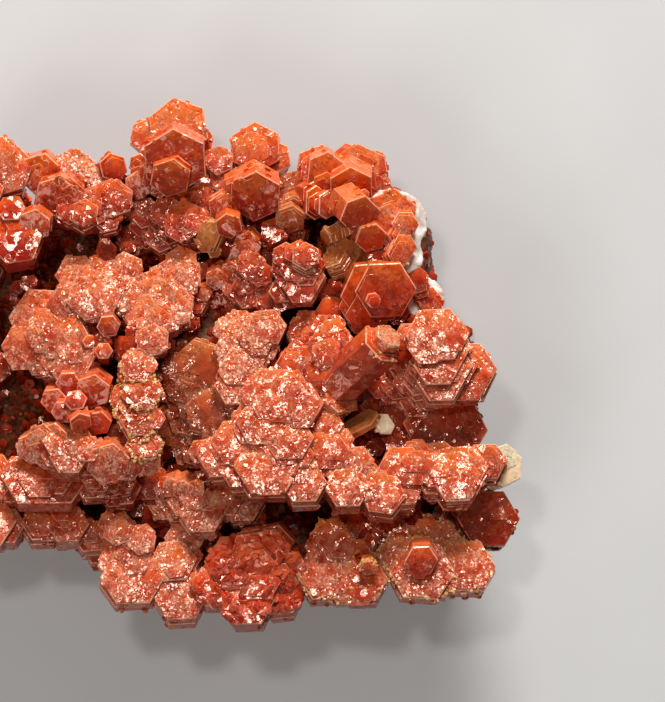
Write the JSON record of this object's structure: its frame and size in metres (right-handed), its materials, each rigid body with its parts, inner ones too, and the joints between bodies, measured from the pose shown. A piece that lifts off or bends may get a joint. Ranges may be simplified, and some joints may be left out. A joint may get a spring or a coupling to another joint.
{
  "type": "vanadinite on matrix",
  "caption": "Cluster of orange-red hexagonal vanadinite plates in overlapping fans on a brown rock base with pale barite, lying on its flat back.",
  "frame": {"origin": "middle of the flat back that the specimen lies on", "axes": "+Z out of the back towards the crystals, +X to the right and +Y to the top of the display face"},
  "size_m": [0.0781, 0.067, 0.0261],
  "materials": {
    "rock": "rough drusy brown rock",
    "barite": "pale satin blades",
    "orange_vanadinite": "translucent orange-red, resinous, frosted in places",
    "red_vanadinite": "translucent bright red, resinous",
    "deep_red_vanadinite": "dark red, resinous",
    "brown_vanadinite": "brown-tan, resinous",
    "tan_crystal": "tan, translucent edges",
    "pale_crystal": "pale yellow-white, glassy"
  },
  "bodies": {
    "root": {"barite_blade_lower": "barite", "barite_blade_upper": "barite", "blocky_prism": "orange_vanadinite", "brown_curved_plate": "brown_vanadinite", "brown_hexagon": "brown_vanadinite", "centre_fan": "orange_vanadinite", "centre_right_lobes": "orange_vanadinite", "cleft_hexagons": "orange_vanadinite", "crest_fan": "orange_vanadinite", "crown_back_plates": "orange_vanadinite", "crown_foot_stack": "orange_vanadinite", "crown_front_plate": "orange_vanadinite", "dark_rounded_plates": "deep_red_vanadinite", "edge_on_plate": "tan_crystal", "foot_fan_crusted": "orange_vanadinite", "foot_fan_left": "orange_vanadinite", "foot_fan_right": "orange_vanadinite", "frosted_shelf": "orange_vanadinite", "leaning_prism": "orange_vanadinite", "left_crest_fan": "orange_vanadinite", "left_edge_plates": "orange_vanadinite", "left_flank_fan": "orange_vanadinite", "left_foot_lobes": "orange_vanadinite", "left_low_fan": "orange_vanadinite", "left_middle_fan": "orange_vanadinite", "left_rear_fan": "orange_vanadinite", "middle_rimmed_fan": "orange_vanadinite", "pale_flake": "pale_crystal", "pale_yellow_crystal": "pale_crystal", "ragged_foot_fan": "orange_vanadinite", "red_foot_cluster": "red_vanadinite", "red_prism_cluster": "red_vanadinite", "right_arm_fan": "orange_vanadinite", "right_hexagon": "orange_vanadinite", "right_shoulder_plate": "orange_vanadinite", "right_side_stub": "orange_vanadinite", "right_stepped_stack": "orange_vanadinite", "rimmed_stack": "orange_vanadinite", "rock_matrix": "rock", "shadowed_plate": "deep_red_vanadinite", "shoulder_fan": "orange_vanadinite", "small_red_crystal": "red_vanadinite", "spire_fan": "orange_vanadinite", "stepped_long_plate": "orange_vanadinite", "tan_edged_plate": "tan_crystal", "tan_ridged_prisms": "tan_crystal"}
  },
  "joints": []
}
